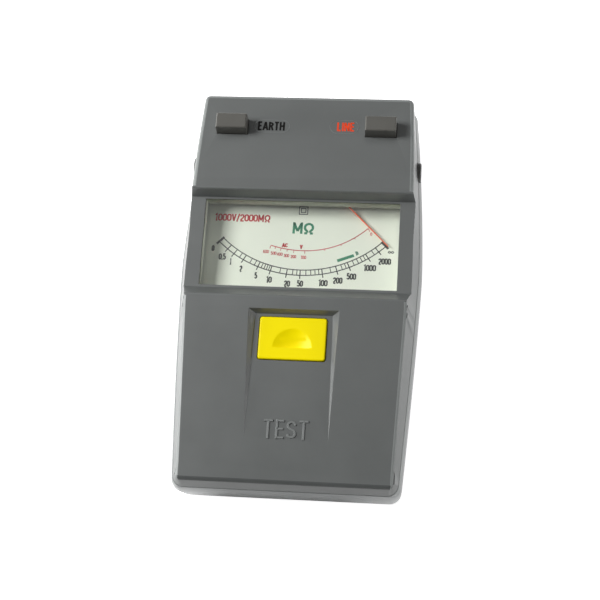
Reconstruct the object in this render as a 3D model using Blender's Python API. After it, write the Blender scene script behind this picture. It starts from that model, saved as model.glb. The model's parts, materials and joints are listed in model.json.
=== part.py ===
"""Hand-held analogue insulation tester: case, meter, test button, terminals and battery bay.

Metres, +Z up. +Y points to the terminal end (head), -Y to the battery end, +X to the right.
The origin is on the ground under the middle of the case.
"""
import math

import bmesh
import bpy
import numpy as np
from mathutils import Matrix, Vector

MM = 0.001

# ---------------------------------------------------------------- driving dimensions (mm)
HALF_LENGTH = 84.2           # case, ground plan
HALF_WIDTH = 50.0            # widest, beside the meter
WIDEST_Y = 9.0
BASE_Z = 1.4                 # underside of the case above the ground
PARTING_Z = 25.2             # joint between lower and upper case
PART_STEP = 1.35             # lower case stands this far outside the upper case
GAP = 0.3                    # play between neighbouring pieces
WALL = 2.4
CORNER_R, FAR_CORNER_R = 5.0, 3.2

FACE_NEAR = (-80.6, 30.85)   # top profile of the upper case, (y, z)
SILL_TOP = (-7.6, 38.5)
SILL_FOOT = (-2.7, 32.55)
BROW_FOOT = (36.6, 34.8)
RIDGE = (37.8, 41.0)
HEAD_FAR = (82.1, 39.7)
EDGE_CHAMFER_FACE = 1.3
EDGE_CHAMFER_HEAD = 1.6

WINDOW_HALF_W = 40.2
WINDOW_NEAR_Y, WINDOW_FAR_Y = -1.6, 36.4
LIP = 1.2                    # case lip over the lens
LENS_T = 1.5

RECESS_FAR_Y, RECESS_TIP_Y = -14.1, -65.0
RECESS_DEPTH = 3.0
RECESS_HALF_W = 15.45
RIM_NEAR_R, RIM_FAR_R = 1.7, 2.4
BUTTON_X, BUTTON_Y0, BUTTON_Y1 = 13.45, -33.0, -15.5
BUTTON_PROUD = 0.7
SCOOP_R, SCOOP_Y, SCOOP_DEPTH = 7.8, -28.1, 1.7

DIAL_Z = 23.9                # printed face of the dial
PIVOT_Y = 56.8               # pointer axis
POINTER_LEN = 51.0
REST_DEG = 44.5              # pointer at infinity, measured from -Y towards +X
POINTER_Z = 25.2

TERM_X, TERM_Y0, TERM_Y1, TERM_TOP = 30.95, 63.3, 70.0, 46.2
SOCKET_Z = 32.5
EYELET_Y, EYELET_R = 54.8, 4.0
SCREW_XY = ((-38.5, -50.0), (38.5, -50.0), (-38.5, 49.5), (38.5, 49.5))
FOOT_XY = ((-38.0, -70.0), (38.0, -70.0), (-38.0, 70.0), (38.0, 70.0))

CELL_R, CELL_LEN, CELL_Z, CELL_PITCH = 7.1, 49.5, 11.6, 14.8
BAY_X, BAY_Y0, BAY_Y1, BAY_TOP = 30.5, -79.3, -23.0, 19.8
COVER_X, COVER_Y0, COVER_Y1 = 28.0, -80.4, -21.4

for old in list(bpy.data.objects):
    bpy.data.objects.remove(old, do_unlink=True)


# ---------------------------------------------------------------- materials
def material(name, rgb, rough=0.5, metal=0.0, alpha=1.0):
    mat = bpy.data.materials.new(name)
    mat.use_nodes = True
    bsdf = mat.node_tree.nodes["Principled BSDF"]
    bsdf.inputs["Base Color"].default_value = (*rgb, 1.0)
    bsdf.inputs["Roughness"].default_value = rough
    bsdf.inputs["Metallic"].default_value = metal
    bsdf.inputs["Alpha"].default_value = alpha
    return mat


ABS_GREY = material("abs_grey", (0.155, 0.16, 0.16), 0.5)
ABS_BASE = material("abs_grey_base", (0.16, 0.165, 0.168), 0.5)
YELLOW = material("button_yellow", (0.9, 0.72, 0.01), 0.35)
CLEAR = material("clear_window", (0.95, 0.97, 0.96), 0.05, 0.0, 0.2)
CREAM = material("dial_cream", (0.74, 0.77, 0.66), 0.6)
BLACK = material("black_plastic", (0.02, 0.02, 0.022), 0.45)
RUBBER = material("black_rubber", (0.015, 0.015, 0.015), 0.8)
ORANGE = material("pointer_orange", (0.85, 0.12, 0.02), 0.4)
STEEL = material("steel", (0.55, 0.56, 0.57), 0.35, 1.0)
BRASS = material("brass", (0.72, 0.52, 0.2), 0.3, 1.0)
COPPER = material("copper", (0.75, 0.33, 0.16), 0.35, 1.0)
FERRITE = material("magnet", (0.12, 0.12, 0.13), 0.4, 0.8)
BOARD = material("circuit_green", (0.02, 0.16, 0.07), 0.5)
CAP_BLUE = material("capacitor_blue", (0.03, 0.06, 0.25), 0.4)
FILM_RED = material("film_capacitor", (0.4, 0.06, 0.03), 0.4)
CELL_SKIN = material("cell_sleeve", (0.1, 0.1, 0.12), 0.35)
TRANSFO = material("transformer_tape", (0.6, 0.45, 0.05), 0.5)


# ---------------------------------------------------------------- mesh helpers
def finish(name, bm, mat):
    """Turn a bmesh in mm into a named object in metres with outward faces."""
    bmesh.ops.recalc_face_normals(bm, faces=bm.faces)
    bm.transform(Matrix.Scale(MM, 4))
    mesh = bpy.data.meshes.new(name)
    bm.to_mesh(mesh)
    bm.free()
    obj = bpy.data.objects.new(name, mesh)
    bpy.context.scene.collection.objects.link(obj)
    if mat:
        mesh.materials.append(mat)
    return obj


def loft(name, rings, mat=None):
    """Closed body through rings with equal point counts."""
    bm = bmesh.new()
    rows = [[bm.verts.new(p) for p in ring] for ring in rings]
    count = len(rings[0])
    for low, high in zip(rows, rows[1:]):
        for i in range(count):
            j = (i + 1) % count
            bm.faces.new((low[i], low[j], high[j], high[i]))
    bm.faces.new(rows[0][::-1])
    bm.faces.new(rows[-1])
    return finish(name, bm, mat)


def box(name, x, y, z, mat=None, bevel=0.0):
    bm = bmesh.new()
    bmesh.ops.create_cube(bm, size=1.0)
    centre = Vector(((x[0] + x[1]) / 2, (y[0] + y[1]) / 2, (z[0] + z[1]) / 2))
    scale = Matrix.Diagonal((x[1] - x[0], y[1] - y[0], z[1] - z[0], 1.0))
    bm.transform(Matrix.Translation(centre) @ scale)
    if bevel:
        bmesh.ops.bevel(bm, geom=bm.edges[:], offset=bevel, segments=2, profile=0.5,
                        affect="EDGES")
    return finish(name, bm, mat)


def axis_matrix(axis):
    if axis == "X":
        return Matrix(((0, 0, 1), (0, 1, 0), (-1, 0, 0))).to_4x4()
    if axis == "Y":
        return Matrix(((1, 0, 0), (0, 0, 1), (0, -1, 0))).to_4x4()
    return Matrix.Identity(4)


def lathe(name, centre, profile, mat=None, axis="Z", segments=24):
    """Turn a closed (radius, height) outline about an axis through centre.

    Outline points with radius 0 become single pole points.
    """
    bm = bmesh.new()
    rows = []
    for radius, height in profile:
        if radius == 0:
            rows.append([bm.verts.new((0, 0, height))] * segments)
            continue
        rows.append([bm.verts.new((radius * math.cos(a), radius * math.sin(a), height))
                     for a in np.linspace(0, 2 * math.pi, segments, endpoint=False)])
    pairs = list(zip(rows, rows[1:]))
    if profile[0][0] != 0:
        pairs.append((rows[-1], rows[0]))
    for low, high in pairs:
        for i in range(segments):
            j = (i + 1) % segments
            corners = []
            for v in (low[i], low[j], high[j], high[i]):
                if v not in corners:
                    corners.append(v)
            if len(corners) > 2:
                bm.faces.new(corners)
    bm.transform(Matrix.Translation(Vector(centre)) @ axis_matrix(axis))
    return finish(name, bm, mat)


def rod(name, centre, radius, length, mat=None, axis="Z", segments=24, chamfer=0.0):
    """Solid cylinder from centre along +axis."""
    c = chamfer
    profile = [(0, 0), (radius, 0), (radius, length), (0, length)]
    if c:
        profile = [(0, 0), (radius - c, 0), (radius, c), (radius, length - c),
                   (radius - c, length), (0, length)]
    return lathe(name, centre, profile, mat, axis, segments)


def pipe(name, centre, outer, inner, length, mat=None, axis="Z", segments=24):
    profile = [(inner, 0), (outer, 0), (outer, length), (inner, length)]
    return lathe(name, centre, profile, mat, axis, segments)


def prism(name, points, low, high, axis="Z", mat=None):
    """Extrude a closed outline: (x, y) along Z, (y, z) along X or (x, z) along Y."""
    def place(p, h):
        return {"X": (h, p[0], p[1]), "Y": (p[0], h, p[1]), "Z": (p[0], p[1], h)}[axis]
    return loft(name, [[place(p, low) for p in points], [place(p, high) for p in points]], mat)


def sweep(name, path, radius, mat, sides=6):
    """Round wire along a list of points, with closed ends."""
    rings = []
    for i, point in enumerate(path):
        ahead = Vector(path[min(i + 1, len(path) - 1)])
        behind = Vector(path[max(i - 1, 0)])
        along = (ahead - behind).normalized()
        side = along.cross(Vector((0, 0, 1)) if abs(along.z) < 0.9 else Vector((1, 0, 0)))
        side.normalize()
        up = side.cross(along)
        rings.append([Vector(point) + radius * (side * math.cos(a) + up * math.sin(a))
                      for a in np.linspace(0, 2 * math.pi, sides, endpoint=False)])
    return loft(name, rings, mat)


def helix(name, centre, radius, length, turns, wire, mat, axis="Z", steps=14, taper=1.0):
    points = []
    total = int(turns * steps)
    for i in range(total + 1):
        t = i / total
        a = 2 * math.pi * turns * t
        r = radius * (1 + (taper - 1) * t)
        points.append(Vector((r * math.cos(a), r * math.sin(a), wire + (length - 2 * wire) * t)))
    turn = Matrix.Translation(Vector(centre)) @ axis_matrix(axis)
    return sweep(name, [turn @ p for p in points], wire, mat, sides=5)


def boolean(target, tool, operation="DIFFERENCE"):
    """Apply one exact boolean and drop the tool."""
    mod = target.modifiers.new("cut", "BOOLEAN")
    mod.operation = operation
    mod.solver = "EXACT"
    mod.object = tool
    graph = bpy.context.evaluated_depsgraph_get()
    mesh = bpy.data.meshes.new_from_object(target.evaluated_get(graph))
    target.modifiers.clear()
    target.data = mesh
    bpy.data.objects.remove(tool, do_unlink=True)
    return target


def move_origin(obj, point):
    """Put the object's origin on its joint axis without moving its surface."""
    shift = Vector(point) * MM
    obj.data.transform(Matrix.Translation(-shift))
    obj.location = shift
    return obj


# ---------------------------------------------------------------- case outline
def half_width(y):
    """Half width of the lower case at its widest level: a barrel, fullest by the meter."""
    if y < WIDEST_Y:
        return HALF_WIDTH - 4.25 * ((WIDEST_Y - y) / 84.2) ** 1.28
    return HALF_WIDTH - 3.8 * ((y - WIDEST_Y) / 67.4) ** 1.6


def side_lean(y):
    """How far the upper wall leans in per mm of height."""
    return float(np.interp(y, (-84, -8, 0, 10, 22, 37, 80), (.37, .25, .30, .32, .29, .145, .035)))


def outline(z, inset, near, far, lean=None, stations=20, arc=5):
    """Plan outline at height z, counter-clockwise from the near right corner."""
    y_near, y_far = -HALF_LENGTH + near, HALF_LENGTH - far
    r_near, r_far = (max(r - 0.3 * inset, 1.5) for r in (CORNER_R, FAR_CORNER_R))

    def edge(y):
        return half_width(y) - inset - (lean(y) if lean else 0.0)

    right = []
    for i in range(arc):
        a = math.pi / 2 * i / arc
        right.append((edge(y_near + r_near) - r_near + r_near * math.sin(a),
                      y_near + r_near - r_near * math.cos(a)))
    for y in np.linspace(y_near + r_near, y_far - r_far, stations):
        right.append((edge(y), y))
    for i in range(1, arc + 1):
        a = math.pi / 2 * i / arc
        right.append((edge(y_far - r_far) - r_far + r_far * math.cos(a),
                      y_far - r_far + r_far * math.sin(a)))
    left = [(-x, y) for x, y in reversed(right)]
    return [(x, y, z) for x, y in right + left]


def upper_loft(name, inset, z_low, z_high):
    """Tapered barrel that bounds the upper case, with extra inset for its inside."""
    rings = []
    for z in (z_low, z_high):
        rise = z - PARTING_Z
        rings.append(outline(z, PART_STEP + inset, 0.5 + 0.35 * rise + inset,
                             1.2 + 0.08 * rise + inset, lean=lambda y: side_lean(y) * rise))
    return loft(name, rings, ABS_GREY)


def tighten(bm):
    """Draw the case's corners in towards the rim: round at the parting line, crisp at the top."""
    wide_near, wide_far = CORNER_R - 0.3 * PART_STEP, FAR_CORNER_R - 0.3 * PART_STEP
    for v in bm.verts:
        x, y, z = (c / MM for c in v.co)
        rise = z - PARTING_Z
        if y < -70 and abs(z - face_z(y)) < 0.05:
            give, wide = wide_near - RIM_NEAR_R, wide_near
            low = -HALF_LENGTH + 0.5 + 0.35 * rise
            turn = math.acos(min(1.0, max(0.0, (low + wide - y) / wide)))
            x += math.copysign(give * (1 - math.sin(turn)) if y < low + wide else 0.0, x)
            y -= give * (1 - math.cos(turn)) if abs(x) > 30 and y < low + wide + 0.01 else 0.0
            z = face_z(y)
        elif y > 70 and abs(z - head_z(y)) < 0.05:
            give, wide = wide_far - RIM_FAR_R, wide_far
            high = HALF_LENGTH - 1.2 - 0.08 * rise
            turn = math.asin(min(1.0, max(0.0, (y - high + wide) / wide)))
            x += math.copysign(give * (1 - math.cos(turn)) if y > high - wide else 0.0, x)
            y += give * (1 - math.sin(turn)) if abs(x) > 30 and y > high - wide - 0.01 else 0.0
            z = head_z(y)
        else:
            continue
        v.co = (x * MM, y * MM, z * MM)


def face_z(y):
    slope = (SILL_TOP[1] - FACE_NEAR[1]) / (SILL_TOP[0] - FACE_NEAR[0])
    return SILL_TOP[1] + slope * (y - SILL_TOP[0])


def bars_z(y):
    slope = (BROW_FOOT[1] - SILL_FOOT[1]) / (BROW_FOOT[0] - SILL_FOOT[0])
    return SILL_FOOT[1] + slope * (y - SILL_FOOT[0])


def head_z(y):
    slope = (HEAD_FAR[1] - RIDGE[1]) / (HEAD_FAR[0] - RIDGE[0])
    return RIDGE[1] + slope * (y - RIDGE[0])


def recess_z(y):
    """Floor of the thumb recess: deepest by the button, meeting the face at its tip."""
    z_far = face_z(RECESS_FAR_Y) - RECESS_DEPTH
    z_tip = face_z(RECESS_TIP_Y)
    return z_far + (z_tip - z_far) * (y - RECESS_FAR_Y) / (RECESS_TIP_Y - RECESS_FAR_Y)


def top_profile(drop, back):
    """Side view of the upper case's top, lowered by drop and its steps moved back."""
    return [(-95, 20), (-95, face_z(-95) - drop), (SILL_TOP[0] - back, face_z(SILL_TOP[0]) - drop),
            (SILL_FOOT[0] - back, bars_z(SILL_FOOT[0]) - drop),
            (BROW_FOOT[0] + drop, bars_z(BROW_FOOT[0]) - drop),
            (RIDGE[0] + drop, head_z(RIDGE[0]) - drop), (95, head_z(95) - drop), (95, 20)]


# ---------------------------------------------------------------- upper case
upper = upper_loft("upper_case", 0.0, PARTING_Z, 48.0)
boolean(upper, prism("top", top_profile(0.0, 0.0), -60, 60, "X"), "INTERSECT")

bm = bmesh.new()
bm.from_mesh(upper.data)
bmesh.ops.dissolve_limit(bm, angle_limit=0.002, verts=bm.verts, edges=bm.edges)
tighten(bm)
for low_y, high_y, width in ((-90, -7.7, EDGE_CHAMFER_FACE), (37.9, 90, EDGE_CHAMFER_HEAD)):
    rim = []
    for edge in bm.edges:
        mid = (edge.verts[0].co + edge.verts[1].co) / (2 * MM)
        if not low_y < mid.y < high_y or len(edge.link_faces) != 2 or mid.z < PARTING_Z + 1:
            continue
        lean = sorted(abs(f.normal.z) for f in edge.link_faces)
        if lean[1] > 0.98 and lean[0] < 0.8:
            rim.append(edge)
    bmesh.ops.bevel(bm, geom=rim, offset=width * MM, segments=1, affect="EDGES")
bm.to_mesh(upper.data)
bm.free()

# inside of the upper case, keeping the recess housing and four screw bosses
hollow = upper_loft("hollow", WALL, PARTING_Z - 3, 46.0)
boolean(hollow, prism("ceiling", top_profile(WALL, 1.2), -60, 60, "X"), "INTERSECT")
housing = [(y, recess_z(y) - 2.2) for y in (RECESS_FAR_Y + 4, RECESS_TIP_Y + 8)]
housing += [(RECESS_TIP_Y + 8, 50), (RECESS_FAR_Y + 4, 50)]
boolean(hollow, prism("housing", housing, -RECESS_HALF_W - 4, RECESS_HALF_W + 4, "X"))
for n, (x, y) in enumerate(SCREW_XY):
    boolean(hollow, rod(f"post{n}", (x, y, 10), 3.2, 40, segments=16))
boolean(upper, hollow)

window = [(x, y) for x, y in ((-1, 0), (1, 0), (1, 1), (-1, 1))]
window = [(x * WINDOW_HALF_W, WINDOW_NEAR_Y if y == 0 else WINDOW_FAR_Y) for x, y in window]
boolean(upper, prism("window", window, 26, 34.75))
seat = [(WINDOW_NEAR_Y - 1.7, 24), (WINDOW_FAR_Y + 1.9, 24),
        (WINDOW_FAR_Y + 1.9, bars_z(WINDOW_FAR_Y + 1.9) - LIP),
        (WINDOW_NEAR_Y - 1.7, bars_z(WINDOW_NEAR_Y - 1.7) - LIP)]
boolean(upper, prism("lens_seat", seat, -WINDOW_HALF_W - 1.9, WINDOW_HALF_W + 1.9, "X"))

rise = 9.0
rings = []
for up in (0.0, rise):
    wide = RECESS_HALF_W + 0.88 * up
    tip = RECESS_TIP_Y - 5
    rings.append([(wide + 1.15, tip, recess_z(tip) + up),
                  (wide, RECESS_FAR_Y + 0.36 * up, recess_z(RECESS_FAR_Y) + up),
                  (-wide, RECESS_FAR_Y + 0.36 * up, recess_z(RECESS_FAR_Y) + up),
                  (-wide - 1.15, tip, recess_z(tip) + up)])
boolean(upper, loft("recess", rings))
boolean(upper, box("button_hole", (-BUTTON_X - GAP, BUTTON_X + GAP),
                   (BUTTON_Y0 - GAP, BUTTON_Y1 + GAP), (26, 44)))

for n, (x, y) in enumerate(SCREW_XY):
    boolean(upper, rod(f"pilot{n}", (x, y, 20), 1.6, 12, segments=12))
for side in (-1, 1):
    x = side * TERM_X
    boolean(upper, box("slot", (x - 6.65, x + 6.65), (TERM_Y0 - GAP, TERM_Y1 + GAP), (30, 44)))
    boolean(upper, rod("port", (x, 74, SOCKET_Z), 5.3, 14, axis="Y"))
    boolean(upper, rod("eye", (side * 47 - 5, EYELET_Y, PARTING_Z), EYELET_R + GAP, 10, axis="X"))

# ---------------------------------------------------------------- lower case
LEVELS = ((BASE_Z, 2.9, 4.6), (2.0, 1.7, 3.6), (3.0, 1.0, 2.8), (4.6, 0.6, 2.1), (18.0, 0.0, 0.0),
          (21.0, 0.12, 0.05), (23.4, 0.55, 0.15), (PARTING_Z - GAP, PART_STEP - 0.25, 0.3))
rings = [outline(z, inset, near, min(near, 1.2) * 0.9 + inset * 0.5) for z, inset, near in LEVELS]
lower = loft("lower_case", rings, ABS_BASE)

hollow = loft("hollow", [outline(z, WALL + 0.8, WALL + 2.0 - n, WALL + 1.0)
                         for n, z in ((0, BASE_Z + 2.2), (1.2, PARTING_Z + 2))])
boolean(hollow, box("bay", (-BAY_X - 1.6, BAY_X + 1.6), (BAY_Y0 - 6, BAY_Y1 + 1.6),
                    (-1, BAY_TOP + 1.6)))
for n, (x, y) in enumerate(SCREW_XY):
    boolean(hollow, rod(f"post{n}", (x, y, 0), 4.2, PARTING_Z - GAP - 1.0, segments=20))
boolean(lower, hollow)
boolean(lower, box("bay", (-BAY_X, BAY_X), (BAY_Y0, BAY_Y1), (-1, BAY_TOP)))


def cover_section(play):
    """T-shaped cross-section of the sliding cover and of its slot."""
    x, lip = COVER_X + play, COVER_X + 1.4 + play
    low = 0.0 if play else BASE_Z + 0.1
    return [(-x, low), (x, low), (x, 2.3 - play / 2), (lip, 2.3 - play / 2), (lip, 3.1 + play),
            (-lip, 3.1 + play), (-lip, 2.3 - play / 2), (-x, 2.3 - play / 2)]


boolean(lower, prism("cover_slot", cover_section(GAP), -90, COVER_Y1 + GAP, "Y"))
for n, (x, y) in enumerate(SCREW_XY):
    boolean(lower, rod(f"bore{n}", (x, y, 0), 1.7, 30, segments=12))
    boolean(lower, rod(f"counterbore{n}", (x, y, 0), 3.1, 5.4, segments=20))
for n, (x, y) in enumerate(FOOT_XY):
    boolean(lower, rod(f"pocket{n}", (x, y, 0), 4.5, 2.6, segments=24))
for side in (-1, 1):
    boolean(lower, rod("eye", (side * 47 - 5, EYELET_Y, PARTING_Z), EYELET_R + GAP, 10, axis="X"))

# ---------------------------------------------------------------- window and meter
lens_y = (WINDOW_NEAR_Y - 1.4, WINDOW_FAR_Y + 1.6)
lens = [(lens_y[0], bars_z(lens_y[0]) - LIP - GAP - LENS_T), (lens_y[1],
        bars_z(lens_y[1]) - LIP - GAP - LENS_T), (lens_y[1], bars_z(lens_y[1]) - LIP - GAP),
        (lens_y[0], bars_z(lens_y[0]) - LIP - GAP)]
prism("window_lens", lens, -WINDOW_HALF_W - 1.6, WINDOW_HALF_W + 1.6, "X", CLEAR)

surround = prism("dial_surround", [(-2.9, DIAL_Z + GAP), (36.9, DIAL_Z + GAP + 3),
                 (37.9, DIAL_Z + GAP + 3), (37.9, 31.2), (-2.9, 28.9)], -41.6, 41.6, "X", BLACK)
boolean(surround, box("opening", (-40.4, 40.4), (-1.9, 36.9), (20, 40)))
boolean(surround, box("sweep_slot", (-38.5, 38.5), (30, 45), (20, DIAL_Z + GAP + 3.0)))

dial = box("dial_plate", (-41.5, 41.5), (-3.4, 44.4), (DIAL_Z - 0.6, DIAL_Z), CREAM)
boolean(dial, rod("clearance", (0, PIVOT_Y, 20), 15.5, 8, segments=40))
for x in (-37.5, 37.5):
    boolean(dial, rod("rivet_hole", (x, 41.5, 20), 1.2, 8, segments=12))

frame = box("meter_frame", (-41.0, 41.0), (-3.0, 44.4), (DIAL_Z - 2.4, DIAL_Z - 0.9), BLACK)
boolean(frame, box("neck", (-24, 24), (40, PIVOT_Y), (DIAL_Z - 2.4, DIAL_Z - 0.9)), "UNION")
boolean(frame, rod("cup", (0, PIVOT_Y, 7.0), 18.6, 15.0, segments=40), "UNION")
boolean(frame, rod("cup_bore", (0, PIVOT_Y, 8.6), 16.9, 20, segments=40))

pipe("yoke_ring", (0, PIVOT_Y, 8.9), 16.4, 12.4, 12.3, STEEL, segments=32)
rod("magnet_core", (0, PIVOT_Y, 12.3), 8.8, 8.4, FERRITE, segments=28, chamfer=0.5)

coil = box("moving_coil", (-11.6, 11.6), (-2.4, 2.4), (10.0, 22.9), COPPER)
boolean(coil, box("turns", (-10.3, 10.3), (-5, 5), (11.3, 21.6)))
boolean(coil, rod("upper_pivot", (0, 0, 22.2), 0.6, 4.5, segments=10), "UNION")
boolean(coil, rod("lower_pivot", (0, 0, 9.0), 0.6, 1.6, segments=10), "UNION")
coil.location = (0, PIVOT_Y * MM, 0)
coil.rotation_euler.z = math.radians(REST_DEG)

tail = 12.0
arm = [(-0.75, tail), (-0.75, 0), (-0.35, -POINTER_LEN), (0.35, -POINTER_LEN), (0.75, 0), (0.75, tail)]
pointer = prism("pointer", arm, POINTER_Z, POINTER_Z + 0.7, "Z", ORANGE)
boolean(pointer, rod("hub", (0, 0, POINTER_Z - 0.2), 2.3, 1.1, segments=16), "UNION")
boolean(pointer, rod("hub_bore", (0, 0, 20), 0.95, 10, segments=12))
pointer.location = (0, PIVOT_Y * MM, 0)
pointer.rotation_euler.z = math.radians(REST_DEG)
weight = pipe("pointer_counterweight", (0, 7.6, POINTER_Z + 0.35), 1.9, 1.15, 2.8, BRASS,
              axis="Y", segments=14)
weight.location = pointer.location
weight.rotation_euler.z = math.radians(REST_DEG)

spiral = [((1.5 + 3.0 * t) * math.cos(2 * math.pi * 3.5 * t),
           PIVOT_Y + (1.5 + 3.0 * t) * math.sin(2 * math.pi * 3.5 * t), 24.0)
          for t in np.linspace(0, 1, 56)]
sweep("hairspring", spiral, 0.16, BRASS, sides=4)

bridge = prism("top_bridge", [(-20.6, DIAL_Z - 0.6), (-18.8, DIAL_Z - 0.6), (-18.8, 27.0),
                              (18.8, 27.0), (18.8, DIAL_Z - 0.6), (20.6, DIAL_Z - 0.6),
                              (20.6, 28.4), (-20.6, 28.4)], PIVOT_Y - 2.5, PIVOT_Y + 2.5, "Y", STEEL)
boolean(bridge, rod("jewel_hole", (0, PIVOT_Y, 20), 0.95, 20, segments=12))

# ---------------------------------------------------------------- test button and its switch
button = loft("test_button", [
    [(sx * (BUTTON_X - e), (BUTTON_Y0 + e if sy < 0 else BUTTON_Y1 - e),
      z + recess_z(BUTTON_Y0 if sy < 0 else BUTTON_Y1))
     for sx, sy in ((1, -1), (1, 1), (-1, 1), (-1, -1))]
    for e, z in ((0.0, -3.0), (0.0, BUTTON_PROUD - 0.6), (0.2, BUTTON_PROUD - 0.15),
                 (0.6, BUTTON_PROUD))], YELLOW)
bore = SCOOP_R ** 2 / (2 * SCOOP_DEPTH) + SCOOP_DEPTH / 2
ball = [(0, -bore)] + [(bore * math.sin(a), -bore * math.cos(a))
                       for a in np.linspace(0.06, 0.62, 9)] + [(0, -bore * math.cos(0.62))]
scoop_z = recess_z(SCOOP_Y) + BUTTON_PROUD + bore - SCOOP_DEPTH
scoop = lathe("scoop", (0, SCOOP_Y, scoop_z), ball, segments=36)
boolean(scoop, box("half", (-20, 20), (SCOOP_Y - 30, SCOOP_Y), (20, 70)))
boolean(button, scoop)
boolean(button, box("flange", (-15.3, 15.3), (-34.8, -13.9), (30.0, 31.25)), "UNION")
move_origin(button, (0, -24.55, 30.0))

for side, name in ((-1, "left"), (1, "right")):
    helix(f"button_spring_{name}", (side * 9.5, -24.55, 23.7), 2.6, 6.0, 4.5, 0.25, STEEL)
switch = box("push_switch", (-3.6, 3.6), (-28.15, -20.95), (23.7, 27.2), BLACK, bevel=0.3)
boolean(switch, rod("plunger_bore", (0, -24.55, 24.1), 1.9, 10, segments=16))
rod("switch_plunger", (0, -24.55, 26.9), 1.5, 2.8, RUBBER, segments=16, chamfer=0.2)
board = box("switch_board", (-17.0, 17.0), (-36.0, -13.0), (22.2, 23.4), BOARD)
for x in (-15.0, 15.0):
    boolean(board, rod("board_hole", (x, -15.0, 20), 0.9, 5, segments=12))

# ---------------------------------------------------------------- terminals
for side, name in ((-1, "earth"), (1, "line")):
    x = side * TERM_X
    rings = [[(x + sx * (6.35 - e), (TERM_Y0 + e if sy < 0 else TERM_Y1 - e), z)
              for sx, sy in ((1, -1), (1, 1), (-1, 1), (-1, -1))]
             for e, z in ((0, 26.2), (0, TERM_TOP - 0.4), (0.4, TERM_TOP))]
    block = loft(f"terminal_housing_{name}", rings, ABS_GREY)
    boolean(block, rod("barrel", (x, TERM_Y1 - 2, SOCKET_Z), 5.0, 14.5, axis="Y"), "UNION")
    boolean(block, rod("bore", (x, TERM_Y0 + 2, SOCKET_Z), 3.1, 30, axis="Y", segments=20))
    pipe(f"socket_{name}", (x, TERM_Y0 + 2.4, SOCKET_Z), 2.75, 2.05, 15.0, BRASS, axis="Y",
         segments=20)

# ---------------------------------------------------------------- circuit
plate = box("circuit_board", (-40.5, 40.5), (-19.0, 36.0), (5.6, 7.2), BOARD)
for x in (-37.5, 37.5):
    for y in (-16.0, 33.0):
        boolean(plate, rod("hole", (x, y, 0), 1.5, 20, segments=14))
core = box("transformer", (-33.0, -13.0), (-12.0, 5.0), (7.5, 19.5), STEEL, bevel=0.4)
boolean(core, box("winding", (-30.0, -16.0), (-14.5, 7.5), (9.0, 18.0), None, 1.2), "UNION")
core.data.materials[0] = TRANSFO
for n, (x, y) in enumerate(((20.0, -8.0), (31.0, -8.0))):
    rod(f"capacitor_{n + 1}", (x, y, 7.5), 4.6, 12.5, CAP_BLUE, segments=20, chamfer=0.5)
box("film_capacitor", (-5.0, 9.0), (10.0, 16.0), (7.5, 17.5), FILM_RED, 0.7)
for n, x in enumerate((20.0, 31.0)):
    pot = box(f"trimmer_{n + 1}", (x - 3.5, x + 3.5), (14.0, 21.0), (7.5, 11.5), CAP_BLUE, 0.3)
    boolean(pot, box("slot", (x - 2.2, x + 2.2), (17.1, 17.9), (10.7, 13)))

# ---------------------------------------------------------------- cells and contacts
for n in range(4):
    x = (n - 1.5) * CELL_PITCH
    flip = -1 if n % 2 else 1                     # nub towards +Y on cells 1 and 3
    y_nub = -24.2 if flip > 0 else -78.3
    skin = [(0, 0), (CELL_R - 0.5, 0), (CELL_R, 0.5), (CELL_R, CELL_LEN - 2.0),
            (CELL_R - 0.5, CELL_LEN - 1.5), (2.7, CELL_LEN - 1.5), (2.6, CELL_LEN), (0, CELL_LEN)]
    start = y_nub - flip * CELL_LEN
    cell = lathe(f"battery_{n + 1}", (x, 0, CELL_Z), skin, CELL_SKIN, axis="Y", segments=24)
    if flip < 0:
        cell.data.transform(Matrix.Diagonal((1, -1, 1, 1)))
        cell.data.flip_normals()
    cell.data.transform(Matrix.Translation((0, start * MM, 0)))
    y_spring = start - 4.2 if flip > 0 else start + 0.3
    helix(f"contact_spring_{n + 1}", (x, y_spring, CELL_Z), 3.6, 3.9, 3, 0.35, STEEL, axis="Y",
          steps=12)
half = CELL_PITCH / 2
for name, x0, x1, y in (("near_left", -3 * half - 4, -half + 4, -79.0),
                        ("near_right", half - 4, 3 * half + 4, -79.0),
                        ("far_left", -3 * half - 5, -3 * half + 5, -23.8),
                        ("far_middle", -half - 4, half + 4, -23.8),
                        ("far_right", 3 * half - 5, 3 * half + 5, -23.8)):
    box(f"contact_{name}", (x0, x1), (y, y + 0.5), (5.6, 17.6), BRASS)

cover = prism("battery_cover", cover_section(0.0), COVER_Y0, COVER_Y1, "Y", ABS_BASE)
for n in range(5):
    y = -74.0 + 2.2 * n
    boolean(cover, box("grip", (-9, 9), (y, y + 1.0), (0, 2.1)))
move_origin(cover, (0, (COVER_Y0 + COVER_Y1) / 2, BASE_Z))

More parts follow.
